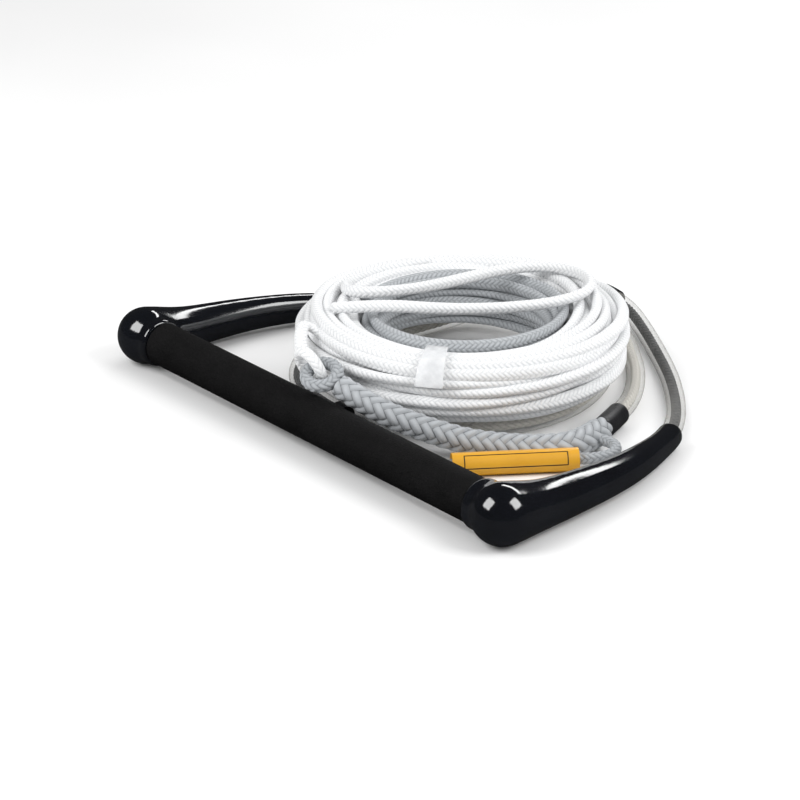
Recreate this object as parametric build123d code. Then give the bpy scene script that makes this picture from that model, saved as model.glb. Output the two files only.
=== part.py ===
"""Tow rope handle: a foam-gripped bar between two moulded arms, its two rope legs in clear hose,
the thick spliced trunk that they join into, and the main rope coiled beside the bar.

Millimetres, +Z up. The origin is on the floor under the middle of the bar. The bar lies along X, and
the arms point along +Y, towards the boat.
"""
from build123d import *
import math
import os

# bar and grip
BAR_Z = 18.5
BAR_TO_ORIGIN = 75.7
BAR_OD = 22.0
BAR_ID = 17.0
BAR_HALF = 165.0
GRIP_OD = 27.5
GRIP_HALF = 152.5
GRIP_ROUND = 1.2

# nylon bushes that line the bar's ends
BUSH_LENGTH = 14.0
BUSH_BORE = 9.4
BUSH_FLANGE = 1.5

# moulded arms: each station is along the arm, with its place across, its height and its width
BALL_X = 171.5
BALL_R = 18.5
COLLAR_R = 15.5
COLLAR_ROUND = 0.8
GROOVE_X = 159.5
GROOVE_R = 15.1
ARM_STATIONS = [
    # y, x, height, width, lean of the section towards the inside
    (0.0, 171.5, 36.4, 36.4, 0.0),
    (10.0, 171.6, 34.6, 34.2, 4.0),
    (24.0, 171.6, 30.4, 29.0, 10.0),
    (50.0, 170.8, 26.0, 24.0, 14.0),
    (78.0, 168.2, 23.2, 20.5, 14.0),
    (106.0, 162.6, 20.8, 18.0, 12.0),
    (132.0, 153.4, 18.4, 16.4, 8.0),
    (152.0, 144.2, 16.6, 15.7, 3.0),
    (166.0, 136.0, 15.5, 15.5, 0.0),
]
ARM_RISE = 2.5
SOCKET_POINTS = 3

# rope sizes
HOSE_OD = 12.0
HOSE_ID = 8.6
LEG_ROPE_D = 8.0
TAIL_D = 7.0
TRUNK_D = 16.0
MAIN_D = 7.0
CHANNEL_CLEARANCE = 0.5

# heat-shrink collars
COLLAR_OD = 14.0
CAP_LENGTH = 10.0
BAND_PLACE = (0.393, 0.416)
JOINT_PLACE = (0.97, 1.0)

# rope inside the bar and the arms, from the middle of the bar to the tip of the right arm
BRIDLE_HALF = [
    (0.0, 0.0, BAR_Z),
    (176.0, 0.0, BAR_Z),
    (173.0, 32.0, 18.0),
    (168.2, 78.0, 14.8),
    (156.0, 126.0, 11.2),
    (146.0, 149.0, 9.0),
]
BRIDLE_RADII = [10.5, 70.0, 110.0, 60.0]

# main rope, coiled on the floor beside the bar and resting on the hoses
COIL_X = -13.0
COIL_Y = 131.0
COIL_Z = 34.5
COIL_R = 85.0
COIL_SECTION_R = 24.0
COIL_BOTTOM = 12.5
TAKEOFF_R_IN = 58.5
TAKEOFF_R_OUT = 67.0
TAKEOFF_LOW = 22.0
TAKEOFF_HIGH = 50.0
TAKEOFF_ROUND = 5.0

# tape strip round the coil
TIE_THICK = 0.8
TIE_LOW = 9.0
TIE_INNER = 80.0
TIE_ARC = 9.0
TIE_ANGLE = -56.5

# clear hose of the right leg: back behind the coil, over the left hose, and forward beside the bar
RIGHT_LEG_ROUTE = [
    (146.0, 149.0, 9.0),
    (136.0, 166.0, 7.75),
    (119.0, 188.0, 6.6),
    (97.0, 209.0, 6.0),
    (68.0, 232.0, 6.0),
    (34.0, 254.0, 6.0),
    (1.0, 274.0, 6.4),
    (-30.0, 290.0, 7.4),
    (-62.0, 297.0, 7.6),
    (-94.0, 290.0, 7.4),
    (-117.0, 269.0, 7.4),
    (-129.0, 239.0, 12.0),
    (-131.0, 209.0, 23.0),
    (-125.0, 181.0, 23.5),
    (-119.0, 156.0, 12.0),
    (-117.0, 132.0, 6.0),
    (-115.0, 108.0, 6.0),
    (-107.0, 84.0, 6.0),
    (-93.0, 62.0, 6.0),
    (-73.0, 46.0, 6.0),
    (-48.0, 39.0, 6.0),
    (-22.0, 37.0, 6.0),
]

# clear hose of the left leg once it has left its arm, as the right one does: a whole turn under the
# coil, over its own start, and out on the right; angle round the coil, distance from its centre, height
LEFT_LEG_TURNS = [
    (138.0, 121.5, 6.0),
    (122.0, 124.5, 6.0),
    (106.0, 118.0, 6.0),
    (90.0, 110.0, 6.0),
    (74.0, 100.0, 6.0),
    (57.0, 91.0, 6.0),
    (37.0, 85.0, 6.0),
    (14.0, 82.0, 6.0),
    (-10.0, 81.0, 6.0),
    (-34.0, 80.0, 6.0),
    (-58.0, 79.0, 6.0),
    (-82.0, 78.0, 6.0),
    (-106.0, 77.0, 6.0),
    (-130.0, 77.0, 6.0),
    (-154.0, 78.0, 6.0),
    (-178.0, 80.0, 6.0),
    (161.0, 86.0, 6.0),
    (146.0, 96.0, 6.0),
    (133.0, 108.0, 11.0),
    (122.0, 116.5, 22.5),
    (111.0, 125.5, 23.0),
    (101.0, 131.0, 13.5),
    (91.0, 130.5, 6.5),
    (81.0, 124.0, 6.0),
    (70.0, 114.5, 6.0),
    (57.0, 110.0, 6.0),
    (42.0, 108.0, 6.2),
    (28.0, 109.5, 6.8),
    (15.5, 112.0, 7.5),
    (3.6, 118.2, 7.8),
]

# bare rope of the right leg: through the warning sleeve and into the splice
TAIL_ROUTE = [
    (-22.0, 37.0, 6.0),
    (4.0, 33.0, 6.4),
    (31.0, 24.5, 7.2),
    (48.0, 18.8, 7.2),
    (61.0, 16.8, 7.2),
    (72.0, 20.5, 7.2),
    (79.5, 28.7, 7.2),
    (132.2, 108.7, 7.2),
    (134.5, 119.0, 7.2),
    (130.0, 128.0, 7.4),
    (121.5, 131.0, 7.6),
    (113.0, 128.0, 7.8),
]
SLEEVE_RUN = 6
SLEEVE_PLACE = 47.6
SLEEVE_LENGTH = 75.0
SLEEVE_OD = 14.0
SLEEVE_CLEARANCE = 0.35

# spliced trunk: from the joint of the two legs, along the coil's foot and up between coil and grip
TRUNK_ROUTE = [
    (105.0, 138.4, 7.8),
    (110.5, 122.0, 8.0),
    (109.5, 105.0, 8.0),
    (100.5, 90.5, 8.0),
    (87.5, 77.0, 8.5),
    (75.0, 60.0, 11.5),
    (57.0, 41.0, 19.0),
    (34.0, 21.5, 29.5),
    (9.0, 14.5, 38.5),
]

# soft eyes that hitch the trunk to the main rope
TRUNK_EYE = (-3.0, 10.5, 43.0)
TRUNK_EYE_AXIS = (0.2, -0.35, 0.92)
TRUNK_EYE_R = 9.5
TRUNK_EYE_ROPE_R = 4.0
MAIN_EYE = (-13.2, 10.0, 45.0)
MAIN_EYE_AXIS = (0.07, 0.96, 0.35)
MAIN_EYE_R = 10.5

# main rope from its eye to the coil
LEAD_ROUTE = [
    (-25.5, 13.0, 48.0),
    (-40.0, 22.0, 53.0),
    (-53.0, 38.0, 57.0),
    (-64.0, 58.0, 56.0),
]

# loop at the boat end, laid across the top of the coil
BOAT_LOOP_ROUTE = [
    (-72.0, 62.0, 56.0),
    (-54.0, 84.0, 61.5),
    (-41.0, 112.0, 61.0),
    (-37.0, 145.0, 60.0),
    (-32.0, 178.0, 61.0),
    (-16.0, 204.0, 62.5),
    (12.0, 212.0, 62.5),
    (34.0, 196.0, 62.0),
    (32.0, 166.0, 60.5),
    (16.0, 136.0, 59.5),
    (-6.0, 106.0, 60.0),
    (-32.0, 80.0, 61.5),
    (-54.0, 58.0, 58.0),
]


def round_coil(turns):
    """Points given as angle, distance and height about the coil's centre, turned into X, Y and Z."""
    return [
        (
            COIL_X + distance * math.cos(math.radians(angle)),
            COIL_Y + distance * math.sin(math.radians(angle)),
            height,
        )
        for angle, distance, height in turns
    ]


def turn_radii(points):
    """Largest tangent arc at each corner of a route."""
    radii = []
    for before, at, after in zip(points, points[1:], points[2:]):
        run_in = Vector(*at) - Vector(*before)
        run_out = Vector(*after) - Vector(*at)
        half_turn = math.radians(run_in.get_angle(run_out)) / 2
        radii.append(0.45 * min(run_in.length, run_out.length) / math.tan(half_turn))
    return radii


def route_line(points):
    """A route's centre line: straight runs joined by tangent arcs."""
    return FilletPolyline(*points, radius=turn_radii(points))


def swept(line, outer_d, inner_d=0.0):
    """A round tube or rod along a line."""
    plane = Plane(origin=line @ 0, z_dir=line % 0)
    section = plane * Circle(outer_d / 2)
    if inner_d:
        section = section - plane * Circle(inner_d / 2)
    return sweep(section, path=line)


def ring_along_x(x_low, x_high, outer_d, inner_d=0.0):
    """A round rod or tube on the bar's axis, between two places along X."""
    place = Pos((x_low + x_high) / 2, 0, BAR_Z) * Rot(0, 90, 0)
    body = Cylinder(outer_d / 2, x_high - x_low)
    if inner_d:
        body = body - Cylinder(inner_d / 2, x_high - x_low)
    return place * body


def arm_rise(y):
    """How far the middle of the arm stands clear of the floor."""
    return ARM_RISE * math.sin(math.pi * y / ARM_STATIONS[-1][0])


def arm_direction(index):
    """Direction of the arm's centre line at one station."""
    if index < 2:
        return Vector(0, 1, 0)
    before = ARM_STATIONS[index - 1]
    after = ARM_STATIONS[min(index + 1, len(ARM_STATIONS) - 1)]
    return Vector(after[1] - before[1], after[0] - before[0], 0).normalized()


def arm_section(index):
    """One oval of the right arm, square to the arm, with its top leaning inwards."""
    y, x, height, width, lean = ARM_STATIONS[index]
    direction = arm_direction(index)
    centre = (x, y, height / 2 + arm_rise(y))
    across = direction.cross(Vector(0, 0, 1))
    plane = Plane(origin=centre, x_dir=across, z_dir=direction)
    return plane * Rot(0, 0, -lean) * Ellipse(width / 2, height / 2)


def arm_body():
    """Outer shape of the right arm: neck collar, ball end and tapering arm."""
    taper = loft([arm_section(index) for index in range(len(ARM_STATIONS))])
    ball = Pos(BALL_X, 0, BAR_Z) * Sphere(BALL_R)
    profile = Polyline(
        (GRIP_HALF, 0),
        (GRIP_HALF, COLLAR_R - COLLAR_ROUND),
        (GRIP_HALF + COLLAR_ROUND, COLLAR_R),
        (GRIP_HALF + 4.5, COLLAR_R),
        (GROOVE_X, GROOVE_R),
        (GROOVE_X + 2.5, GROOVE_R + 1.1),
        (BALL_X - 5.5, BALL_R - 2.0),
        (BALL_X, BALL_R / 2),
        (BALL_X, 0),
        close=True,
    )
    neck = revolve(Plane.XZ * make_face(profile), Axis.X)
    return Pos(0, 0, BAR_Z) * neck + ball + taper


def bridle_line(half):
    """Centre line of the rope from the middle of the bar to the right arm's tip, or of the whole."""
    if half:
        return FilletPolyline(*BRIDLE_HALF, radius=BRIDLE_RADII)
    left = [(-x, y, z) for x, y, z in reversed(BRIDLE_HALF[1:])]
    return FilletPolyline(*left, *BRIDLE_HALF[1:], radius=BRIDLE_RADII[::-1] + BRIDLE_RADII)


def right_arm():
    """Moulded right arm with its bar socket, rope channel and hose socket."""
    bar_socket = ring_along_x(GRIP_HALF - 1, BAR_HALF + BUSH_FLANGE, BAR_OD)
    channel = swept(bridle_line(True), LEG_ROPE_D + CHANNEL_CLEARANCE)
    hose_socket = swept(route_line(RIGHT_LEG_ROUTE[:SOCKET_POINTS]), HOSE_OD)
    return arm_body() - bar_socket - channel - hose_socket


def foam_grip():
    """Foam sleeve on the bar, with eased ends."""
    grip = ring_along_x(-GRIP_HALF, GRIP_HALF, GRIP_OD, BAR_OD)
    return fillet(grip.edges().filter_by(GeomType.CIRCLE).group_by(SortBy.RADIUS)[-1], GRIP_ROUND)


def right_bush():
    """Flanged nylon bush that keeps the rope off the bar's edge."""
    body = ring_along_x(BAR_HALF - BUSH_LENGTH, BAR_HALF, BAR_ID, BUSH_BORE)
    flange = ring_along_x(BAR_HALF, BAR_HALF + BUSH_FLANGE, BAR_OD, BUSH_BORE)
    return body + flange


def other_side(shape):
    """The same piece at the other end of the bar."""
    return mirror(shape, about=Plane.YZ)


def shrink_collar(line, place):
    """Heat-shrink collar on a hose, between two fractions of the hose's length."""
    return swept(line.trim(*place), COLLAR_OD, HOSE_OD)


def end_cap(line, rope_d):
    """Short cap on the end of a hose, as wide as the hose and bored for the rope."""
    at_end = Plane(origin=line @ 1, z_dir=line % 1)
    cap = Cylinder(HOSE_OD / 2, CAP_LENGTH, align=(Align.CENTER, Align.CENTER, Align.MIN))
    hole = Cylinder(rope_d / 2, CAP_LENGTH, align=(Align.CENTER, Align.CENTER, Align.MIN))
    return at_end * (cap - hole)


def sleeve_plane():
    """Middle of the warning sleeve, looking along the rope that it slides on."""
    low = Vector(*TAIL_ROUTE[SLEEVE_RUN])
    high = Vector(*TAIL_ROUTE[SLEEVE_RUN + 1])
    along = (high - low).normalized()
    return Plane(origin=low + along * SLEEVE_PLACE, z_dir=along)


def warning_sleeve():
    """Stiff plastic tube on the right leg's bare rope."""
    bore = TAIL_D + 2 * SLEEVE_CLEARANCE
    tube = Cylinder(SLEEVE_OD / 2, SLEEVE_LENGTH) - Cylinder(bore / 2, SLEEVE_LENGTH)
    return sleeve_plane() * tube


def coil_ring(profile):
    """A profile of distance and height, turned round the coil's axis."""
    ring = revolve(Plane.XZ * profile, Axis.Z)
    return Pos(COIL_X, COIL_Y, 0) * ring


def mainline_coil():
    """Outer shape of the coiled main rope, flat where it rests on the hoses."""
    section = Pos(COIL_R, COIL_Z) * Circle(COIL_SECTION_R)
    kept = Pos(COIL_R + COIL_SECTION_R, COIL_Z) * Rectangle(
        2 * (COIL_R + COIL_SECTION_R - TAKEOFF_R_OUT), 2 * (COIL_Z - COIL_BOTTOM)
    )
    return coil_ring(section & kept)


def takeoff_coil():
    """Outer shape of the grey take-off section, wound inside the main rope."""
    middle = (TAKEOFF_R_IN + TAKEOFF_R_OUT) / 2
    section = Pos(middle, (TAKEOFF_LOW + TAKEOFF_HIGH) / 2) * Rectangle(
        TAKEOFF_R_OUT - TAKEOFF_R_IN, TAKEOFF_HIGH - TAKEOFF_LOW
    )
    inner = section.vertices().group_by(Axis.X)[0]
    return coil_ring(fillet(inner, TAKEOFF_ROUND))


def tie_band():
    """Tape strip over the coil's front shoulder, open underneath."""
    centre = Pos(COIL_R, COIL_Z)
    ring = centre * (Circle(COIL_SECTION_R + TIE_THICK) - Circle(COIL_SECTION_R))
    above = Pos(COIL_R + COIL_SECTION_R, COIL_Z + COIL_SECTION_R + TIE_LOW) * Rectangle(
        2 * (COIL_R + COIL_SECTION_R - TIE_INNER), 2 * COIL_SECTION_R
    )
    strip = revolve(Plane.XZ * (ring & above), Axis.Z, revolution_arc=TIE_ARC)
    return Pos(COIL_X, COIL_Y, 0) * Rot(0, 0, TIE_ANGLE) * strip


def eye_ring(centre, axis, major, minor):
    """A closed rope eye."""
    return Plane(origin=centre, z_dir=axis) * Torus(major, minor)


def save(name, shape):
    """Write one piece, moved so that the origin is under the middle of the handle."""
    export_step(Pos(0, -BAR_TO_ORIGIN, 0) * shape, f"parts/{name}.step")


os.makedirs("parts", exist_ok=True)

arm = right_arm()
bush = right_bush()
save("right_arm", arm)
save("left_arm", other_side(arm))
save("bar_tube", ring_along_x(-BAR_HALF, BAR_HALF, BAR_OD, BAR_ID))
save("foam_grip", foam_grip())
save("right_bar_bush", bush)
save("left_bar_bush", other_side(bush))
save("bridle_rope", swept(bridle_line(False), LEG_ROPE_D))

left_start = [(-x, y, z) for x, y, z in RIGHT_LEG_ROUTE[:SOCKET_POINTS]]
routes = {
    "right_leg": (RIGHT_LEG_ROUTE, HOSE_OD),
    "left_leg": (left_start + round_coil(LEFT_LEG_TURNS), HOSE_OD),
    "tail": (TAIL_ROUTE, TAIL_D),
    "trunk": (TRUNK_ROUTE, TRUNK_D),
    "lead": (LEAD_ROUTE, MAIN_D),
    "boat_loop": (BOAT_LOOP_ROUTE, MAIN_D),
}
lines = {}
for label, (points, diameter) in routes.items():
    lines[label] = route_line(points)
    tightness = ", ".join(f"{radius / diameter:.1f}" for radius in turn_radii(points))
    print(f"{label}: {lines[label].length:.0f} mm long, radii in diameters {tightness}")

save("right_leg_hose", swept(lines["right_leg"], HOSE_OD, HOSE_ID))
save("left_leg_hose", swept(lines["left_leg"], HOSE_OD, HOSE_ID))
save("right_leg_rope", swept(lines["right_leg"], LEG_ROPE_D))
save("left_leg_rope", swept(lines["left_leg"], LEG_ROPE_D))
save("right_hose_band", shrink_collar(lines["right_leg"], BAND_PLACE))
save("right_hose_cap", end_cap(lines["right_leg"], TAIL_D))
save("leg_joint_collar", shrink_collar(lines["left_leg"], JOINT_PLACE))
save("right_leg_tail", swept(lines["tail"], TAIL_D))
save("warning_sleeve", warning_sleeve())
save("trunk_braid", swept(lines["trunk"], TRUNK_D))
save("trunk_eye", eye_ring(TRUNK_EYE, TRUNK_EYE_AXIS, TRUNK_EYE_R, TRUNK_EYE_ROPE_R))
save("mainline_eye", eye_ring(MAIN_EYE, MAIN_EYE_AXIS, MAIN_EYE_R, MAIN_D / 2))
save("mainline_lead", swept(lines["lead"], MAIN_D))
save("mainline_coil", mainline_coil())
save("takeoff_coil", takeoff_coil())
save("boat_loop", swept(lines["boat_loop"], MAIN_D))
save("coil_tie_band", tie_band())
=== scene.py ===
# %% [markdown]
# # A tow rope handle beside its coiled rope
# The handle is a foam-gripped bar between two glossy moulded arms. A rope runs through bar and arms and
# leaves them as two legs in clear hose. The legs join in a thick braid, which is hitched to the long
# white main rope, and that lies in a coil behind the bar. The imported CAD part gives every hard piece
# its place; this script gives the rope its braid, the foam its cells and the mouldings their gloss.

import math
import random

import bmesh
import bpy
import numpy as np
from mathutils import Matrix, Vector


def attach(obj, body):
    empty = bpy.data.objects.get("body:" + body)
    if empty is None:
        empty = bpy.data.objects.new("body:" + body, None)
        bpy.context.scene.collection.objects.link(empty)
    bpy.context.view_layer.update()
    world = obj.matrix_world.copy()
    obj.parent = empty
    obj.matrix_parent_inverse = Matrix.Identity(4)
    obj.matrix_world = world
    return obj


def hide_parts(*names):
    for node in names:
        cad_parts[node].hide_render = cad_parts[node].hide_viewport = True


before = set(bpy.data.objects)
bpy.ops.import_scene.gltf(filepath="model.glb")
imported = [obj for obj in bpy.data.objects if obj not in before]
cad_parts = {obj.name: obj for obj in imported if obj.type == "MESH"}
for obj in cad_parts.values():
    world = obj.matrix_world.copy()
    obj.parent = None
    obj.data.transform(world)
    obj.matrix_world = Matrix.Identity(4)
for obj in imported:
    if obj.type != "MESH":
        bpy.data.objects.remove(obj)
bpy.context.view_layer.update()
print("nodes in the frame:", len(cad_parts))

# %% [markdown]
# ## Camera, floor and light
# The handle is seen from above its right end with a long lens, as in a catalogue. A white floor that
# runs far behind it and a bright, even sky leave only soft shadows, and three large soft lamps draw
# long highlights on the gloss of the arms. A small lamp would give hard dots there instead.

# %% Camera
CAMERA_PLACE = Vector((1.2499, -1.0416, 0.7111))
CAMERA_TARGET = Vector((0.0097, -0.0153, 0.0170))
LENS = 130.0

camera_data = bpy.data.cameras.new("camera")
camera_data.lens = LENS
camera_data.sensor_width = 36.0
camera_data.clip_end = 20.0
camera = bpy.data.objects.new("camera", camera_data)
camera.location = CAMERA_PLACE
camera.rotation_euler = (CAMERA_TARGET - CAMERA_PLACE).to_track_quat("-Z", "Y").to_euler()
bpy.context.scene.collection.objects.link(camera)
bpy.context.scene.camera = camera
print("camera looks down by", round(math.degrees(math.pi / 2 - camera.rotation_euler.x), 1), "degrees")


# %% Lamps
def soft_lamp(name, place, target, width, height, power):
    """A large rectangular lamp that faces a point."""
    data = bpy.data.lights.new(name, "AREA")
    data.shape = "RECTANGLE"
    data.size = width
    data.size_y = height
    data.energy = power
    lamp = bpy.data.objects.new(name, data)
    lamp.location = place
    lamp.rotation_euler = (Vector(target) - Vector(place)).to_track_quat("-Z", "Y").to_euler()
    bpy.context.scene.collection.objects.link(lamp)


MIDDLE = (0.0, 0.05, 0.02)
soft_lamp("left_box", (-0.25, -0.94, 0.90), MIDDLE, width=0.75, height=0.75, power=9.5)
soft_lamp("right_box", (0.92, 0.44, 0.90), MIDDLE, width=0.7, height=0.7, power=9.0)
soft_lamp("back_strip", (-0.5, 1.4, 1.2), MIDDLE, width=1.5, height=0.25, power=8.0)
bpy.context.scene.view_settings.view_transform = "Standard"
print("three soft lamps are hung")

# %% [markdown]
# ## Shader sums
# Braid, foam and gloss are all sums of a few numbers over the surface. A small class wraps a node's
# output, so that `height * 0.5 + 0.2` adds the Math nodes that it needs, and a finish is a material with
# one method that adds any other node.


# %% Number and Finish
class Number:
    """A value on its way through a material. Sums on it add Math nodes."""

    def __init__(self, finish, socket):
        self.finish = finish
        self.socket = socket

    def math(self, operation, *values):
        made = self.finish.node("Math", {"operation": operation}, dict(enumerate(values)))
        return Number(self.finish, made.outputs[0])

    def __add__(self, other):
        return self.math("ADD", self, other)

    def __sub__(self, other):
        return self.math("SUBTRACT", self, other)

    def __rsub__(self, other):
        return self.math("SUBTRACT", other, self)

    def __mul__(self, other):
        return self.math("MULTIPLY", self, other)

    def __truediv__(self, other):
        return self.math("DIVIDE", self, other)

    __radd__ = __add__
    __rmul__ = __mul__


class Finish:
    """A procedural material round one Principled shader."""

    def __init__(self, name, constants):
        self.material = bpy.data.materials.new(name)
        self.material.use_nodes = True
        self.tree = self.material.node_tree
        self.shader = self.tree.nodes["Principled BSDF"]
        self.give(self.shader, constants)

    def give(self, node, values):
        """Set or link a node's sockets."""
        for key, value in values.items():
            socket = node.inputs[key]
            value = value.socket if isinstance(value, Number) else value
            if isinstance(value, bpy.types.NodeSocket):
                self.tree.links.new(value, socket)
            else:
                socket.default_value = value

    def node(self, kind, settings=None, values=None):
        """Add a node, with its settings first and then its sockets."""
        made = self.tree.nodes.new("ShaderNode" + kind)
        for key, value in (settings or {}).items():
            if key == "stops":
                for _ in range(2, len(value)):
                    made.color_ramp.elements.new(0.5)
                for element, (place, colour) in zip(made.color_ramp.elements, value):
                    element.position = place
                    element.color = (*colour, 1.0)
            else:
                setattr(made, key, value)
        self.give(made, values or {})
        return made

    def noise(self, coordinates, scale, detail=2.0, roughness=0.5):
        """A noise value from 0 to 1."""
        made = self.node(
            "TexNoise", {}, {"Vector": coordinates, "Scale": scale, "Detail": detail, "Roughness": roughness}
        )
        return Number(self, made.outputs[0])

    def colours(self, factor, stops):
        """A colour ramp over a value."""
        return self.node("ValToRGB", {"stops": stops}, {"Fac": factor}).outputs[0]

    def raised(self, height, distance, strength=1.0):
        """Bump from a height, in metres, on the shader."""
        bump = self.node("Bump", {}, {"Height": height, "Distance": distance, "Strength": strength})
        self.give(self.shader, {"Normal": bump.outputs[0]})


print("shader tools are ready")

# %% [markdown]
# ## Floor and sky
# A black moulding on a white floor mirrors the floor and turns grey. In a studio, black cards round the
# piece stop that. Here the floor and the sky do the cards' work themselves: each gives its full light to
# matt surfaces, and only a little to a ray that a glossy surface sends out.

# %% Floor and sky
CARD_SHADE = 0.05
SKY_LIGHT = 0.58

floor_mesh = bpy.data.meshes.new("floor")
floor_bmesh = bmesh.new()
bmesh.ops.create_grid(floor_bmesh, x_segments=2, y_segments=2, size=6.0)
floor_bmesh.to_mesh(floor_mesh)
floor_bmesh.free()
floor = bpy.data.objects.new("floor", floor_mesh)
bpy.context.scene.collection.objects.link(floor)
floor_finish = Finish("studio_floor", {"Roughness": 1.0, "Specular IOR Level": 0.0})
floor_place = floor_finish.node("TexCoord").outputs["Object"]
floor_tone = floor_finish.noise(floor_place, 3.0)
seen_in_gloss = Number(floor_finish, floor_finish.node("LightPath").outputs["Is Glossy Ray"])
floor_finish.give(
    floor_finish.shader,
    {
        "Base Color": floor_finish.colours(
            (floor_tone * 0.1 + 0.9) * (1.0 - seen_in_gloss * (1.0 - CARD_SHADE)),
            [(0.0, (0.0, 0.0, 0.0)), (1.0, (0.96, 0.96, 0.96))],
        )
    },
)
floor_mesh.materials.append(floor_finish.material)

world = bpy.data.worlds.new("studio")
world.use_nodes = True
sky = world.node_tree.nodes["Background"]
sky.inputs["Color"].default_value = (1.0, 1.0, 1.0, 1.0)
light_path = world.node_tree.nodes.new("ShaderNodeLightPath")
card = world.node_tree.nodes.new("ShaderNodeMath")
card.operation = "MULTIPLY_ADD"
card.inputs[1].default_value = SKY_LIGHT * (CARD_SHADE - 1.0)
card.inputs[2].default_value = SKY_LIGHT
world.node_tree.links.new(light_path.outputs["Is Glossy Ray"], card.inputs[0])
world.node_tree.links.new(card.outputs[0], sky.inputs["Strength"])
bpy.context.scene.world = world
print("floor and sky are ready")

# %% [markdown]
# ## The line that a rope follows
# Each rope is described by a few points, which pull a smooth curve towards them like the poles that a
# rope is laid round. A NURBS spline of order 3 does just that, and never leaves the floor or kinks. Its
# line is read back as points, evened out, and then a ring of vertices is carried along it. The rings
# must not spin on the way, so each one is turned from the last only as far as the line itself turns.


# %% Lines
def smooth_line(points, step):
    """Evenly spaced points along the NURBS curve that the given points shape."""
    curve = bpy.data.curves.new("line", "CURVE")
    curve.dimensions = "3D"
    curve.resolution_u = 12
    spline = curve.splines.new("NURBS")
    spline.points.add(len(points) - 1)
    for control, point in zip(spline.points, points):
        control.co = (*point, 1.0)
    spline.order_u = 3
    spline.use_endpoint_u = True
    holder = bpy.data.objects.new("line", curve)
    mesh = bpy.data.meshes.new_from_object(holder)
    line = np.array([vertex.co[:] for vertex in mesh.vertices])
    bpy.data.objects.remove(holder)
    bpy.data.curves.remove(curve)
    bpy.data.meshes.remove(mesh)
    return evened(line, step)


def evened(line, step):
    """The same line with its points an even step apart."""
    runs = np.linalg.norm(np.diff(line, axis=0), axis=1)
    line = line[np.concatenate([[True], runs > 1e-7])]
    runs = runs[runs > 1e-7]
    far = np.concatenate([[0.0], np.cumsum(runs)])
    places = np.linspace(0.0, far[-1], max(2, round(far[-1] / step) + 1))
    return np.stack([np.interp(places, far, line[:, axis]) for axis in range(3)], axis=1)


def line_length(line):
    """Length of a line of points."""
    return float(np.linalg.norm(np.diff(line, axis=0), axis=1).sum())


def carried_rings(line, closed):
    """Two directions square to the line at each point, carried along with no spin."""
    ends = (line[-2], line[1]) if closed else (line[0], line[-1])
    before = np.vstack([ends[0], line[:-1]])
    after = np.vstack([line[1:], ends[1]])
    along = after - before
    along /= np.linalg.norm(along, axis=1)[:, None]
    side = np.cross(along[0], (0.0, 0.0, 1.0))
    side = side if np.linalg.norm(side) > 0.1 else np.cross(along[0], (1.0, 0.0, 0.0))
    side /= np.linalg.norm(side)
    sides = [side]
    for index in range(1, len(line)):
        side = side - along[index] * np.dot(side, along[index])
        side /= np.linalg.norm(side)
        sides.append(side)
    sides = np.array(sides)
    ups = np.cross(along, sides)
    if closed:
        spin = math.atan2(np.dot(sides[-1], ups[0]), np.dot(sides[-1], sides[0]))
        turns = -spin * np.linspace(0.0, 1.0, len(line))[:, None]
        sides, ups = (
            sides * np.cos(turns) + ups * np.sin(turns),
            ups * np.cos(turns) - sides * np.sin(turns),
        )
    return sides, ups


def new_object(name, mesh, body="handle_and_rope", slot=None, finish=None):
    """Put a finished mesh in the scene, on its body."""
    piece = bpy.data.objects.new(name, mesh)
    bpy.context.scene.collection.objects.link(piece)
    if finish:
        mesh.materials.append(finish.material)
    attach(piece, body)
    return piece


def round_tube(name, line, radii, sides, closed=False, **place):
    """A tube along a line, with a map that counts metres along it and one turn round it."""
    side, up = carried_rings(line, closed)
    count = len(line)
    angles = 2 * np.pi * np.arange(sides) / sides
    radii = np.broadcast_to(np.asarray(radii, float), (count, sides))
    rings = line[:, None, :] + radii[:, :, None] * (
        side[:, None, :] * np.cos(angles)[None, :, None] + up[:, None, :] * np.sin(angles)[None, :, None]
    )
    rings = rings[:-1] if closed else rings
    rows = len(rings)
    first = np.arange(rows if closed else rows - 1)[:, None] * sides
    second = (first + sides) % (rows * sides)
    this = np.arange(sides)[None, :]
    following = (this + 1) % sides
    quads = np.stack([first + this, first + following, second + following, second + this], axis=2)
    faces = quads.reshape(-1, 4).tolist()
    if not closed:
        faces += [list(range(sides))[::-1], list(range((rows - 1) * sides, rows * sides))]
    mesh = bpy.data.meshes.new(name)
    mesh.from_pydata(rings.reshape(-1, 3).tolist(), [], faces)
    far = np.concatenate([[0.0], np.cumsum(np.linalg.norm(np.diff(line, axis=0), axis=1))])
    start = np.broadcast_to(far[:-1][:, None], quads.shape[:2])
    finish_at = np.broadcast_to(far[1:][:, None], quads.shape[:2])
    left = np.broadcast_to(this / sides, quads.shape[:2])
    right = np.broadcast_to((this + 1) / sides, quads.shape[:2])
    corners = np.stack([start, left, start, right, finish_at, right, finish_at, left], axis=2)
    layer = mesh.uv_layers.new(name="rope")
    values = np.zeros((len(mesh.loops), 2))
    values[: corners.size // 2] = corners.reshape(-1, 2)
    layer.data.foreach_set("uv", values.ravel())
    mesh.polygons.foreach_set("use_smooth", [True] * len(mesh.polygons))
    mesh.update()
    print(name, "is", round(line_length(line), 3), "m long, with", 2 * len(faces), "triangles")
    return new_object(name, mesh, **place)


# %% [markdown]
# ## A braid
# Every rope here is plaited: ribbons of yarn run round it both ways and pass over and under each other.
# On a map of metres along the rope and turns round it, the two families are two sets of slanting
# stripes, and a chequer of their cells says which family is on top. One formula gives the height in a
# cell. Numbers from it lift real vertices on the thick ropes, and the same formula drives the bump and
# the shade in the gaps on all of them.


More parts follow.
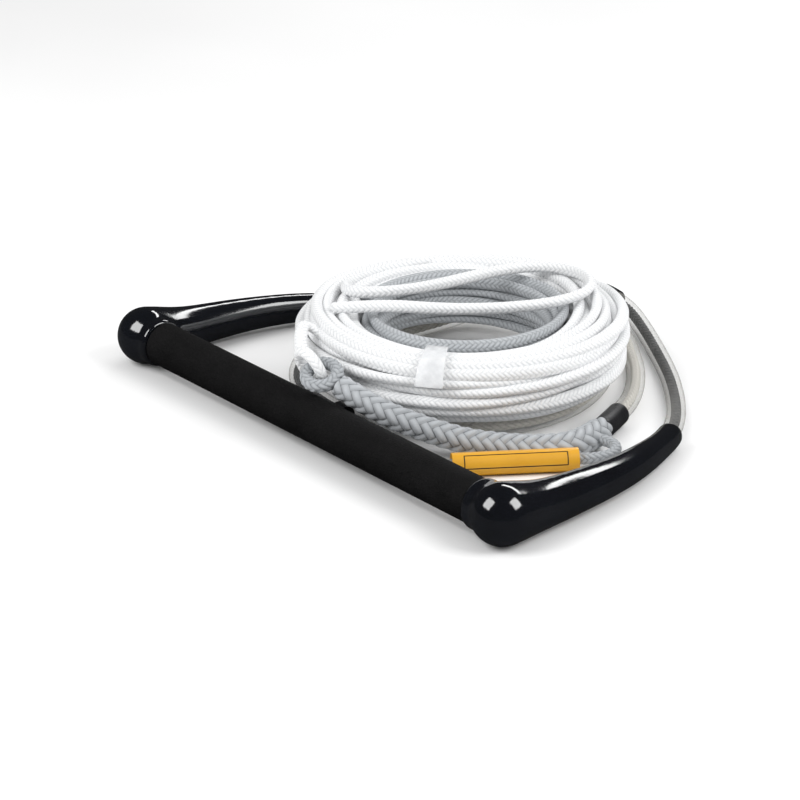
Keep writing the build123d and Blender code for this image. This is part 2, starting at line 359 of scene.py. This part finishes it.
# %% Braid height
RIBBONS = 6


def braid_height(along, around, steps):
    """0 in the gaps and 1 on a ribbon's back, for numbers in a mesh or in a shader."""
    first, second = along + around, along - around
    row, column = steps.floor(first), steps.floor(second)
    reach_first = steps.wrap(row - second + 1.0)
    reach_second = steps.wrap(first - column - 2.0)
    top = steps.below(reach_first, 2.0)
    ribbon_first = hump(first - row) * (0.45 + 0.55 * hump(reach_first * 0.5))
    ribbon_second = hump(second - column) * (0.45 + 0.55 * hump(reach_second * 0.5))
    return ribbon_first * top + ribbon_second * (1.0 - top)


def hump(share):
    """0 at both ends and 1 in the middle."""
    return 4.0 * share * (1.0 - share)


class MeshSteps:
    """The steps in the braid's formula, for arrays."""

    floor = staticmethod(np.floor)
    wrap = staticmethod(lambda value: np.mod(value, 4.0))
    below = staticmethod(lambda value, limit: (value < limit).astype(float))


class ShaderSteps:
    """The same steps as Math nodes."""

    floor = staticmethod(lambda value: value.math("FLOOR", value))
    wrap = staticmethod(lambda value: value.math("FLOORED_MODULO", value, 4.0))
    below = staticmethod(lambda value, limit: value.math("LESS_THAN", value, limit))


def braid_on_rings(line, sides, cell):
    """Braid height at each vertex of a tube's rings."""
    far = np.concatenate([[0.0], np.cumsum(np.linalg.norm(np.diff(line, axis=0), axis=1))])
    along = np.broadcast_to((far / cell)[:, None], (len(line), sides))
    around = np.broadcast_to((RIBBONS * np.arange(sides) / sides)[None, :], (len(line), sides))
    return np.clip(braid_height(along, around, MeshSteps), 0.0, 1.0)


def braid_in_shader(finish, cell):
    """The same height, over a rope's own map."""
    place = finish.node("UVMap", {"uv_map": "rope"})
    split = finish.node("SeparateXYZ", {}, {0: place.outputs[0]})
    along = Number(finish, split.outputs[0]) / cell
    around = Number(finish, split.outputs[1]) * float(RIBBONS)
    return braid_height(along, around, ShaderSteps), place.outputs[0]


def rope_finish(name, cell, gap, back, relief, fluff=0.25):
    """Braided yarn: painted shade darkens the gaps, the ribbons' backs are pale, with fine fibres."""
    finish = Finish(name, {"Roughness": 0.62, "Sheen Weight": 0.1, "Specular IOR Level": 0.3})
    height, place = braid_in_shader(finish, cell)
    stretched = finish.node("Mapping", {}, {"Vector": place, "Scale": (1.0, 0.02, 1.0)})
    fibres = finish.noise(stretched.outputs[0], 2200.0, detail=3.0)
    worn = finish.noise(place, 14.0)
    # The braid's height sets the colour, so this is painted shade, darkest in the gaps between ribbons;
    # fibres and wear add random tone.
    gap_shade_and_wear = height * 0.8 + fibres * 0.2 + (worn - 0.5) * 0.3
    middle = tuple(0.25 * low + 0.75 * high for low, high in zip(gap, back))
    finish.give(
        finish.shader, {"Base Color": finish.colours(gap_shade_and_wear, [(0.02, gap), (0.3, middle), (0.9, back)])}
    )
    finish.raised(height + fibres * fluff, relief)
    return finish


MAIN_CELL = 0.0034
TAIL_CELL = 0.0036
CORE_CELL = 0.0046
TRUNK_CELL = 0.0074

# In each finish the first colour is painted shade for the braid's gaps, the second the yarn's own colour on
# the ribbons' backs.
white_rope = rope_finish("white_braid", MAIN_CELL, (0.58, 0.60, 0.62), (0.90, 0.905, 0.91), 0.0004, 0.5)
grey_rope = rope_finish("pale_grey_braid", MAIN_CELL, (0.17, 0.18, 0.19), (0.47, 0.49, 0.51), 0.0005)
tail_rope = rope_finish("thin_grey_braid", TAIL_CELL, (0.12, 0.13, 0.14), (0.42, 0.44, 0.46), 0.0005)
trunk_rope = rope_finish("thick_grey_braid", TRUNK_CELL, (0.07, 0.075, 0.08), (0.46, 0.48, 0.50), 0.0002)
dark_rope = rope_finish("dark_core_braid", CORE_CELL, (0.002, 0.002, 0.003), (0.012, 0.014, 0.02), 0.0003)
beige_rope = rope_finish("beige_core_braid", CORE_CELL, (0.3, 0.29, 0.26), (0.62, 0.6, 0.55), 0.0003)
print("rope finishes are ready")

# %% [markdown]
# ## Where the ropes lie
# These are the points that shape each rope, in metres: the two legs in their hose, the bare end of the
# right leg, the trunk, the short lead from the hitch to the coil, and the loop at the boat's end. The
# left leg runs a whole turn under the coil, so its points are given round the coil's centre, as an angle,
# a distance and a height.

# %% Routes
COIL_CENTRE = Vector((-0.0130, 0.0553, 0.0))
RIGHT_LEG_ROUTE = [
    (0.1460, 0.0733, 0.0090), (0.1360, 0.0903, 0.0077), (0.1190, 0.1123, 0.0066),
    (0.0970, 0.1333, 0.0060), (0.0680, 0.1563, 0.0060), (0.0340, 0.1783, 0.0060),
    (0.0010, 0.1983, 0.0064), (-0.0300, 0.2143, 0.0074), (-0.0620, 0.2213, 0.0076),
    (-0.0940, 0.2143, 0.0074), (-0.1170, 0.1933, 0.0074), (-0.1290, 0.1633, 0.0120),
    (-0.1310, 0.1333, 0.0230), (-0.1250, 0.1053, 0.0235), (-0.1190, 0.0803, 0.0120),
    (-0.1170, 0.0563, 0.0060), (-0.1150, 0.0323, 0.0060), (-0.1070, 0.0083, 0.0060),
    (-0.0930, -0.0137, 0.0060), (-0.0730, -0.0297, 0.0060), (-0.0480, -0.0367, 0.0060),
    (-0.0220, -0.0387, 0.0060),
]
TAIL_ROUTE = [
    (-0.0220, -0.0387, 0.0060), (0.0040, -0.0427, 0.0064), (0.0310, -0.0512, 0.0072),
    (0.0480, -0.0569, 0.0072), (0.0610, -0.0589, 0.0072), (0.0720, -0.0552, 0.0072),
    (0.0795, -0.0470, 0.0072), (0.0856, -0.0377, 0.0072), (0.1264, 0.0241, 0.0072),
    (0.1322, 0.0330, 0.0072), (0.1345, 0.0433, 0.0072), (0.1300, 0.0523, 0.0074),
    (0.1215, 0.0553, 0.0076), (0.1130, 0.0523, 0.0078),
]
TRUNK_ROUTE = [
    (0.1050, 0.0627, 0.0078), (0.1105, 0.0463, 0.0080), (0.1095, 0.0293, 0.0080),
    (0.1005, 0.0148, 0.0080), (0.0875, 0.0013, 0.0085), (0.0750, -0.0157, 0.0115),
    (0.0570, -0.0347, 0.0190), (0.0340, -0.0542, 0.0295), (0.0090, -0.0612, 0.0385),
]
LEAD_ROUTE = [
    (-0.0255, -0.0627, 0.0480), (-0.0400, -0.0537, 0.0530), (-0.0530, -0.0377, 0.0570),
    (-0.0640, -0.0177, 0.0560),
]
BOAT_LOOP_ROUTE = [
    (-0.0720, -0.0137, 0.0560), (-0.0540, 0.0083, 0.0615), (-0.0410, 0.0363, 0.0610),
    (-0.0370, 0.0693, 0.0600), (-0.0320, 0.1023, 0.0610), (-0.0160, 0.1283, 0.0625),
    (0.0120, 0.1363, 0.0625), (0.0340, 0.1203, 0.0620), (0.0320, 0.0903, 0.0605),
    (0.0160, 0.0603, 0.0595), (-0.0060, 0.0303, 0.0600), (-0.0320, 0.0043, 0.0615),
    (-0.0540, -0.0177, 0.0580),
]
LEFT_LEG_TURNS = [
    (138, 0.1215, 0.0060), (122, 0.1245, 0.0060), (106, 0.1180, 0.0060), (90, 0.1100, 0.0060),
    (74, 0.1000, 0.0060), (57, 0.0910, 0.0060), (37, 0.0850, 0.0060), (14, 0.0820, 0.0060),
    (-10, 0.0810, 0.0060), (-34, 0.0800, 0.0060), (-58, 0.0790, 0.0060), (-82, 0.0780, 0.0060),
    (-106, 0.0770, 0.0060), (-130, 0.0770, 0.0060), (-154, 0.0780, 0.0060), (-178, 0.0800, 0.0060),
    (161, 0.0860, 0.0060), (146, 0.0960, 0.0060), (133, 0.1080, 0.0110), (122, 0.1165, 0.0225),
    (111, 0.1255, 0.0230), (101, 0.1310, 0.0135), (91, 0.1305, 0.0065), (81, 0.1240, 0.0060),
    (70, 0.1145, 0.0060), (57, 0.1100, 0.0060), (42, 0.1080, 0.0062), (28, 0.1095, 0.0068),
    (15.5, 0.1120, 0.0075), (3.6, 0.1182, 0.0078),
]


def round_coil(angle, distance, height):
    """A place given as degrees round the coil's centre, distance from it and height."""
    turn = math.radians(angle)
    return (COIL_CENTRE.x + distance * math.cos(turn), COIL_CENTRE.y + distance * math.sin(turn), height)


left_leg_route = [(-x, y, z) for x, y, z in RIGHT_LEG_ROUTE[:3]]
left_leg_route += [round_coil(*place) for place in LEFT_LEG_TURNS]
print("the left leg has", len(left_leg_route), "points")

# %% [markdown]
# ## The legs
# Each leg is a dark braided rope inside a soft clear hose. The hose is milky, so the rope shows through
# it as a soft dark core, and its gloss catches a thin highlight along the top. A tube of real glass would
# need many light bounces and would look too bright, so the hose is a thin coat that lets most of the
# light through where it is seen square on, and less at its edges.

# %% Legs
HOSE_D = 0.012
CORE_D = 0.008
CORE_SIDES = 24

hose_finish = Finish(
    "milky_clear_hose",
    {"Roughness": 0.12, "Specular IOR Level": 0.4},
)
hose_edge = Number(hose_finish, hose_finish.node("LayerWeight", {}, {"Blend": 0.35}).outputs["Facing"])
hose_place = hose_finish.node("TexCoord").outputs["Object"]
hose_haze = hose_finish.noise(hose_place, 160.0, detail=3.0)
hose_finish.give(
    hose_finish.shader,
    {
        "Base Color": hose_finish.colours(hose_haze, [(0.3, (0.60, 0.59, 0.55)), (0.7, (0.76, 0.75, 0.71))]),
        "Alpha": hose_edge * hose_edge * hose_edge * 1.1 + hose_haze * 0.03 + 0.01,
    },
)
hose_finish.raised(hose_haze, 0.0004)


def leg(side, route, core_finish):
    """A leg's hose with its core rope."""
    line = smooth_line(route, step=0.0011)
    core = round_tube(
        f"{side}_leg_core",
        line,
        CORE_D / 2 * (0.66 + 0.16 * braid_on_rings(line, CORE_SIDES, CORE_CELL)),
        CORE_SIDES,
        slot="core_rope",
        finish=core_finish,
    )
    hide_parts(f"{side}_leg_rope")
    wide = smooth_line(route, step=0.003)
    hose = round_tube(f"{side}_clear_hose", wide, HOSE_D / 2, 28, slot="clear_hose", finish=hose_finish)
    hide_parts(f"{side}_leg_hose")
    return hose, core, wide


right_hose, right_core, right_line = leg("right", RIGHT_LEG_ROUTE, dark_rope)
left_hose, left_core, left_line = leg("left", left_leg_route, beige_rope)

# %% [markdown]
# ## The trunk, its eye and the bare rope
# The two legs join in a hollow grey braid as thick as a thumb. Its ribbons are wide enough to see from
# across a room, so they are lifted from the tube as real shape. The bare end of the right leg comes out
# of its hose, slides through the yellow sleeve and is spliced into the braid.

# %% Trunk and tail
TRUNK_D = 0.016
TRUNK_SIDES = 72
TAIL_D = 0.007
TAIL_SIDES = 24

trunk_line = smooth_line(TRUNK_ROUTE, step=0.0006)
trunk_girth = 1.0 - 0.1 * np.linspace(0.0, 1.0, len(trunk_line))[:, None] ** 3
trunk_relief = 0.86 + 0.2 * braid_on_rings(trunk_line, TRUNK_SIDES, TRUNK_CELL)
trunk_radii = TRUNK_D / 2 * trunk_girth * trunk_relief
trunk = round_tube(
    "trunk_plait", trunk_line, trunk_radii, TRUNK_SIDES, slot="trunk_rope", finish=trunk_rope
)
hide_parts("trunk_braid")

tail_line = smooth_line(TAIL_ROUTE, step=0.0009)
tail_radii = TAIL_D / 2 * (0.88 + 0.16 * braid_on_rings(tail_line, TAIL_SIDES, TAIL_CELL))
tail = round_tube(
    "right_leg_bare_rope", tail_line, tail_radii, TAIL_SIDES, slot="tail_rope", finish=tail_rope
)
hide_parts("right_leg_tail")

# Each eye's place, the axis that it goes round, its line's radius and its rope's own radius.
EYE_POINTS = 120
TRUNK_EYE = (-0.0030, -0.0652, 0.0430)
TRUNK_EYE_AXIS = (0.2, -0.35, 0.92)
TRUNK_EYE_REACH = 0.0095
TRUNK_EYE_THICK = 0.0040
MAIN_EYE = (-0.0132, -0.0657, 0.0450)
MAIN_EYE_AXIS = (0.07, 0.96, 0.35)
MAIN_EYE_REACH = 0.0105
MAIN_EYE_THICK = 0.0035


def closed_line(centre, axis, radius):
    """A ring of points round an axis. The last point lies on the first."""
    axis = Vector(axis).normalized()
    across = axis.cross(Vector((0.0, 1.0, 0.0))).normalized()
    other = axis.cross(across)
    points = []
    for index in range(EYE_POINTS):
        turn = 2 * math.pi * index / (EYE_POINTS - 1)
        along = across * (radius * math.cos(turn)) + other * (radius * math.sin(turn))
        points.append(Vector(centre) + along)
    return np.array([point[:] for point in points])


eye_line = closed_line(TRUNK_EYE, TRUNK_EYE_AXIS, TRUNK_EYE_REACH)
eye_radii = TRUNK_EYE_THICK * (0.88 + 0.16 * braid_on_rings(eye_line, TAIL_SIDES, TAIL_CELL))
trunk_eye = round_tube(
    "trunk_soft_eye", eye_line, eye_radii, TAIL_SIDES, closed=True, slot="trunk_rope", finish=tail_rope
)
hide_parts("trunk_eye")
hitch_line = closed_line(MAIN_EYE, MAIN_EYE_AXIS, MAIN_EYE_REACH)
main_eye = round_tube(
    "main_rope_soft_eye", hitch_line, MAIN_EYE_THICK, 16, closed=True, slot="main_rope", finish=white_rope
)
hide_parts("mainline_eye")

# %% [markdown]
# ## The coil
# The main rope is a hollow-braided white line, wound by hand into a ring as wide as a dinner plate.
# Turns wound by hand never lie in neat rows: each is a little larger or smaller than the last, and they
# wander over each other. The turns start in rows, their order is mixed a little, and each steps across to
# its next place at a moment of its own. Then, in each of sixteen planes round the ring, they push each
# other apart for a set number of rounds, and the rope is drawn smooth between the planes.

# %% Turns that push each other apart
# Places read in each turn, the angle of the first one, and how the turns wander and settle.
STATIONS = 16
START_ANGLE = 235.0
WANDER = 0.0060
WANDER_SMOOTHINGS = 12
STEP_ACROSS = 0.4
STRAIGHTENING = 0.3
PUSH = 0.42


def packed_turns(places, spacing, inside, seed, rounds, mix):
    """Turns that wander from place to place, as (outwards, up) at each station of each turn. The mix
    says how many places a turn may be out of its order."""
    draw = random.Random(seed)
    count = len(places) - 1
    order = sorted(range(len(places)), key=lambda number: number + draw.uniform(0.0, mix))
    spots = np.array(places)[order]
    path = np.zeros((count * STATIONS, 2))
    for turn in range(count):
        begins = draw.uniform(0.0, 0.6)
        for station in range(STATIONS):
            share = min(1.0, max(0.0, (station / STATIONS - begins) / STEP_ACROSS))
            share = share * share * (3 - 2 * share)
            path[turn * STATIONS + station] = spots[turn] * (1 - share) + spots[turn + 1] * share
    wander = np.array([[draw.gauss(0.0, 1.0) for _ in range(2)] for _ in range(len(path))])
    for _ in range(WANDER_SMOOTHINGS):
        wander[1:-1] = (wander[:-2] + 2 * wander[1:-1] + wander[2:]) / 4
    path += wander * WANDER
    for _ in range(rounds):
        path[1:-1] += STRAIGHTENING * ((path[:-2] + path[2:]) / 2 - path[1:-1])
        grid = path.reshape(count, STATIONS, 2).transpose(1, 0, 2)
        apart = grid[:, :, None, :] - grid[:, None, :, :]
        gap = np.linalg.norm(apart, axis=3) + 1e-9
        push = np.clip(spacing - gap, 0.0, None) * (gap > 1e-8)
        grid = grid + PUSH * (apart / gap[..., None] * push[..., None]).sum(axis=2)
        path = inside(grid.transpose(1, 0, 2)).reshape(-1, 2)
    return path


def section_places(spacing, inside, low, high):
    """Places in rows over a coil's section, from the bottom row up, each row the other way."""
    rows = []
    height = low[1]
    row = 0
    while height <= high[1]:
        start = low[0] + (spacing / 2 if row % 2 else 0.0)
        line = [(x, height) for x in np.arange(start, high[0], spacing)]
        kept = [p for p in line if np.linalg.norm(inside(np.array([[p]])) - np.array(p)) < spacing * 0.3]
        rows.append(kept[::-1] if row % 2 else kept)
        height += spacing * 0.87
        row += 1
    return [place for line in rows for place in line]


def in_ring(path, ring_radius, ring_height):
    """Coil places turned into points round the coil's centre."""
    points = []
    for index, (outwards, up) in enumerate(path):
        angle = START_ANGLE + 360.0 * index / STATIONS
        points.append(round_coil(angle, ring_radius + outwards, ring_height + up))
    return points


def soft_radii(line, diameter, sides, seed):
    """Radii of a soft hollow braid, which is flatter here and rounder there and never quite even."""
    draw = np.random.default_rng(seed)
    count = len(line)
    knots = max(4, count // 14)
    places = np.linspace(0, knots - 1, count)
    swell = np.interp(places, np.arange(knots), draw.normal(0.0, 0.035, knots))
    flat = np.interp(places, np.arange(knots), draw.uniform(0.04, 0.24, knots))
    turn = np.interp(places, np.arange(knots), np.cumsum(draw.normal(0.0, 0.5, knots)))
    angles = 2 * np.pi * np.arange(sides) / sides
    oval = flat[:, None] * np.cos(2 * (angles[None, :] - turn[:, None]))
    return diameter / 2 * (1.0 + swell[:, None] + oval)


print("winding tools are ready")

# %% Main rope
MAIN_D = 0.007
MAIN_SIDES = 12
COIL_RING = 0.085
COIL_HEIGHT = 0.0345
MAIN_SPACING = 0.0068
TURN_GAP = 0.0067
ROOM = 0.0205
FLAT_IN = -0.0150
FLAT_LOW = -0.0180
LOOSE = 0.0022
LOOSE_SIDE = 40.0
TAPED = 0.0016
TAPE_SIDE = 305.0
TAPE_SPREAD = 25.0


def in_main_section(places):
    """Keep places inside the coil's round section, flat within and below. It is looser on two sides
    of the ring, and pulled in under the tape."""
    angle = np.asarray(0.0)
    if places.shape[1] == STATIONS:
        angle = START_ANGLE + 360.0 * np.arange(STATIONS) / STATIONS
    loose = LOOSE * np.sin(np.radians(angle * 2.0 - LOOSE_SIDE))
    room = ROOM + loose - TAPED * np.exp(-(((angle - TAPE_SIDE) / TAPE_SPREAD) ** 2))
    reach = np.linalg.norm(places, axis=2)
    shrink = np.minimum(1.0, room / np.maximum(reach, 1e-9))
    places = places * shrink[..., None]
    places[..., 0] = np.maximum(places[..., 0], FLAT_IN)
    places[..., 1] = np.maximum(places[..., 1], FLAT_LOW)
    return places


main_places = section_places(MAIN_SPACING, in_main_section, (FLAT_IN, FLAT_LOW), (0.0206, 0.0206))
main_path = packed_turns(main_places, TURN_GAP, in_main_section, seed=5, rounds=160, mix=9)
turn_points = in_ring(main_path, COIL_RING, COIL_HEIGHT)
main_points = LEAD_ROUTE[:-1] + turn_points[2:] + BOAT_LOOP_ROUTE[1:]
main_line = smooth_line(main_points, step=0.0028)
main_radii = soft_radii(main_line, MAIN_D, MAIN_SIDES, seed=3)
main_rope = round_tube("main_rope", main_line, main_radii, MAIN_SIDES, slot="main_rope", finish=white_rope)
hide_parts("mainline_coil", "mainline_lead", "boat_loop")
print("turns in the coil:", len(main_places) - 1)

# %% [markdown]
# ## The take-off section
# The rope next to the handle comes off as a section of its own, in a pale grey. It is wound inside the
# white turns, where it shows round the coil's open middle.

# %% Take-off rope
TAKEOFF_RING = 0.0590
TAKEOFF_HEIGHT = 0.0350
TAKEOFF_SIDES = 14
TAKEOFF_IN = -0.0080
TAKEOFF_OUT = 0.0065
TAKEOFF_HALF_HEIGHT = 0.0165


def in_takeoff_section(places):
    """Keep places in the narrow band between the white turns and the open middle."""
    places[..., 0] = np.clip(places[..., 0], TAKEOFF_IN, TAKEOFF_OUT)
    places[..., 1] = np.clip(places[..., 1], -TAKEOFF_HALF_HEIGHT, TAKEOFF_HALF_HEIGHT)
    return places


takeoff_places = [
    (-0.005, -0.0150), (0.005, -0.0120), (-0.006, -0.0070), (0.005, -0.0020),
    (-0.004, 0.0030), (0.005, 0.0080), (-0.003, 0.0130), (0.004, 0.0150),
]
takeoff_path = packed_turns(takeoff_places, MAIN_D, in_takeoff_section, seed=9, rounds=120, mix=0)
takeoff_line = smooth_line(in_ring(takeoff_path, TAKEOFF_RING, TAKEOFF_HEIGHT), step=0.0022)
takeoff_radii = soft_radii(takeoff_line, MAIN_D, TAKEOFF_SIDES, seed=4)
takeoff = round_tube(
    "takeoff_rope", takeoff_line, takeoff_radii, TAKEOFF_SIDES, slot="takeoff_rope", finish=grey_rope
)
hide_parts("takeoff_coil")


# %% [markdown]
# ## Mouldings, foam and fittings
# The grip, tube, bushes and collars keep their CAD shape. The arms' gloss is rubbery, with the faintest
# ripple, the grip is closed-cell foam whose cut cells show as fine pits, and the collars are satin black.
# All of these patterns read the piece's own coordinates, so they stay put when the piece moves.


# %% Hard finishes
def coat_node(name, finish):
    """Give a CAD node its finish."""
    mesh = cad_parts[name].data
    mesh.materials.clear()
    mesh.materials.append(finish.material)


def plain_finish(name, low, high, scale, roughness, relief, constants=None):
    """A colour that drifts a little, with a fine bump."""
    finish = Finish(name, {"Roughness": roughness, **(constants or {})})
    place = finish.node("TexCoord").outputs["Object"]
    drift = finish.noise(place, scale, detail=3.0)
    finish.give(finish.shader, {"Base Color": finish.colours(drift, [(0.3, low), (0.7, high)])})
    finish.raised(finish.noise(place, scale * 8, detail=2.0), relief)
    return finish


arm_gloss = Finish("arm_gloss", {"Specular IOR Level": 1.0, "Coat Weight": 0.6, "Coat Roughness": 0.04})
arm_place = arm_gloss.node("TexCoord").outputs["Object"]
arm_smear = arm_gloss.noise(arm_place, 22.0, detail=4.0)
arm_gloss.give(
    arm_gloss.shader,
    {
        "Base Color": arm_gloss.colours(
            arm_smear, [(0.3, (0.0025, 0.003, 0.0045)), (0.7, (0.005, 0.006, 0.009))]
        ),
        "Roughness": arm_smear * 0.08 + 0.06,
    },
)
arm_gloss.raised(arm_gloss.noise(arm_place, 900.0), 0.00004)

foam = Finish("grip_foam", {"Specular IOR Level": 0.16})
foam_place = foam.node("TexCoord").outputs["Object"]
cells = foam.node("TexVoronoi", {}, {"Vector": foam_place, "Scale": 1100.0})
cell = Number(foam, cells.outputs["Distance"])
foam_drift = foam.noise(foam_place, 60.0, detail=4.0)
foam_speck = foam.noise(foam_place, 1500.0, detail=1.0)
foam.give(
    foam.shader,
    {
        "Base Color": foam.colours(
            foam_speck * 0.7 + foam_drift * 0.3,
            [(0.35, (0.0015, 0.0015, 0.0016)), (0.8, (0.011, 0.0105, 0.011))],
        ),
        "Roughness": foam_drift * 0.2 + 0.62,
    },
)
foam.raised(cell + foam_speck * 0.5, 0.00035)

shrink = plain_finish("shrink_black", (0.010, 0.010, 0.012), (0.022, 0.022, 0.024), 90.0, 0.28, 0.0002)
nylon = plain_finish("nylon", (0.78, 0.78, 0.75), (0.86, 0.86, 0.84), 60.0, 0.45, 0.0001)
alloy = plain_finish(
    "satin_alloy", (0.66, 0.67, 0.69), (0.76, 0.77, 0.79), 300.0, 0.3, 0.00005, {"Metallic": 1.0}
)

coat_node("foam_grip", foam)
coat_node("bar_tube", alloy)
coat_node("right_bar_bush", nylon)
coat_node("left_bar_bush", nylon)
for name in ("right_hose_band", "right_hose_cap", "leg_joint_collar"):
    coat_node(name, shrink)
print("hard finishes are on")

# %% [markdown]
# ## The arms
# The arms are moulded and then dipped in a thick gloss skin, which fills their creases: the ball, the
# neck and the arm flow into each other. A bevel on each crease would be fussy where three forms meet.
# A copy of the CAD arm is remeshed in even small cells instead, and then relaxed, and that rounds every
# crease by the same small amount.


# %% Dipped arms
SKIN_CELL = 0.0010
RELAX_ROUNDS = 22


def dipped_arm(side):
    """The CAD arm with its creases filled, as a dipped skin fills them."""
    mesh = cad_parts[f"{side}_arm"].data.copy()
    mesh.materials.clear()
    shape = bmesh.new()
    shape.from_mesh(mesh)
    bmesh.ops.remove_doubles(shape, verts=shape.verts, dist=1e-5)
    shape.to_mesh(mesh)
    shape.free()
    holder = bpy.data.objects.new("holder", mesh)
    bpy.context.scene.collection.objects.link(holder)
    remesh = holder.modifiers.new("cells", "REMESH")
    remesh.mode = "VOXEL"
    remesh.voxel_size = SKIN_CELL
    remesh.use_smooth_shade = True
    relax = holder.modifiers.new("relax", "SMOOTH")
    relax.factor = 0.5
    relax.iterations = RELAX_ROUNDS
    depsgraph = bpy.context.evaluated_depsgraph_get()
    skin = bpy.data.meshes.new_from_object(holder.evaluated_get(depsgraph))
    bpy.data.objects.remove(holder)
    arm = new_object(f"{side}_dipped_arm", skin, slot="arm_moulding", finish=arm_gloss)
    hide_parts(f"{side}_arm")
    print(arm.name, "has", len(skin.polygons), "faces")


for side in ("right", "left"):
    dipped_arm(side)

# %% [markdown]
# ## Bridle rope
# The rope that joins the two legs runs through the bar, out of sight. It is the same dark braid as the
# legs' cores, so it takes that finish from the legs by its own map.

# %% Bridle
BRIDLE_HALF = [
    (0.0, -0.0757, 0.0185), (0.090, -0.0757, 0.0185), (0.158, -0.0757, 0.0185), (0.1760, -0.0757, 0.0185),
    (0.1757, -0.0600, 0.0183), (0.1730, -0.0437, 0.0180), (0.1682, 0.0023, 0.0148), (0.1560, 0.0503, 0.0112),
    (0.1460, 0.0733, 0.0090),
]
bridle_points = [(-x, y, z) for x, y, z in reversed(BRIDLE_HALF[1:])] + BRIDLE_HALF
bridle_line = smooth_line(bridle_points, step=0.003)
bridle = round_tube("bridle_core", bridle_line, CORE_D / 2, 16, slot="core_rope", finish=dark_rope)
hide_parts("bridle_rope")

# %% [markdown]
# ## The warning sleeve and the tape
# The sleeve is a soft yellow tube with a thin dark border on its front; the real one carries a printed
# warning, which is left out. The tape is a clear strip over the front of the coil.

# %% Sleeve and tape
SLEEVE_PLACE = 0.0476
BORDER_REACH = 0.0305
BORDER_TURN = 0.6
LINE_HALF_WIDTH = 0.00035
LINE_HALF_TURN = 0.05

sleeve_low = Vector((0.0795, -0.0470, 0.0072))
sleeve_high = Vector((0.1322, 0.0330, 0.0072))
sleeve_along = (sleeve_high - sleeve_low).normalized()
sleeve_middle = sleeve_low + sleeve_along * SLEEVE_PLACE
sleeve_turn = math.atan2(sleeve_along.y, sleeve_along.x)

sleeve_finish = Finish("warning_yellow", {"Roughness": 0.32, "Coat Weight": 0.3, "Coat Roughness": 0.2})
sleeve_place = sleeve_finish.node("TexCoord").outputs["Object"]
turned = sleeve_finish.node(
    "Mapping",
    {"vector_type": "TEXTURE"},
    {"Vector": sleeve_place, "Location": sleeve_middle, "Rotation": (0.0, 0.0, sleeve_turn)},
)
sleeve_axes = sleeve_finish.node("SeparateXYZ", {}, {0: turned.outputs[0]})
lengthwise = Number(sleeve_finish, sleeve_axes.outputs[0])
lengthwise = lengthwise.math("ABSOLUTE", lengthwise)
turn_round = Number(sleeve_finish, sleeve_axes.outputs[1])
turn_round = turn_round.math("ARCTAN2", turn_round, Number(sleeve_finish, sleeve_axes.outputs[2]))
from_front = (turn_round + 1.0).math("ABSOLUTE", turn_round + 1.0)


def thin_line(distance, at, half_width):
    """1 on a thin line at one distance, 0 elsewhere."""
    off = (distance - at).math("ABSOLUTE", distance - at)
    return off.math("LESS_THAN", off, half_width)


across = thin_line(lengthwise, BORDER_REACH, LINE_HALF_WIDTH)
across = across * from_front.math("LESS_THAN", from_front, 0.62)
along = thin_line(from_front, BORDER_TURN, LINE_HALF_TURN)
along = along * lengthwise.math("LESS_THAN", lengthwise, BORDER_REACH)
border = across.math("MAXIMUM", across, along)
sleeve_wear = sleeve_finish.noise(sleeve_place, 45.0, detail=4.0)
sleeve_finish.give(
    sleeve_finish.shader,
    {
        "Base Color": sleeve_finish.colours(
            (sleeve_wear * 0.4 + 0.1) * (1.0 - border),
            [(0.0, (0.03, 0.025, 0.02)), (0.08, (0.66, 0.31, 0.02)), (0.5, (0.83, 0.44, 0.035))],
        )
    },
)
sleeve_finish.raised(sleeve_finish.noise(sleeve_place, 500.0), 0.0001)
coat_node("warning_sleeve", sleeve_finish)

tape_finish = Finish("clear_tape", {"Roughness": 0.14, "Specular IOR Level": 0.6, "Coat Weight": 0.4})
tape_place = tape_finish.node("TexCoord").outputs["Object"]
tape_crease = tape_finish.noise(tape_place, 130.0, detail=3.0)
tape_finish.give(
    tape_finish.shader,
    {
        "Base Color": tape_finish.colours(
            tape_crease, [(0.3, (0.82, 0.83, 0.85)), (0.7, (0.94, 0.95, 0.96))]
        ),
        "Alpha": tape_crease * 0.3 + 0.35,
    },
)
tape_finish.raised(tape_crease, 0.0012)
coat_node("coil_tie_band", tape_finish)
print("sleeve and tape are coated")

# %% Finish
bpy.context.view_layer.update()
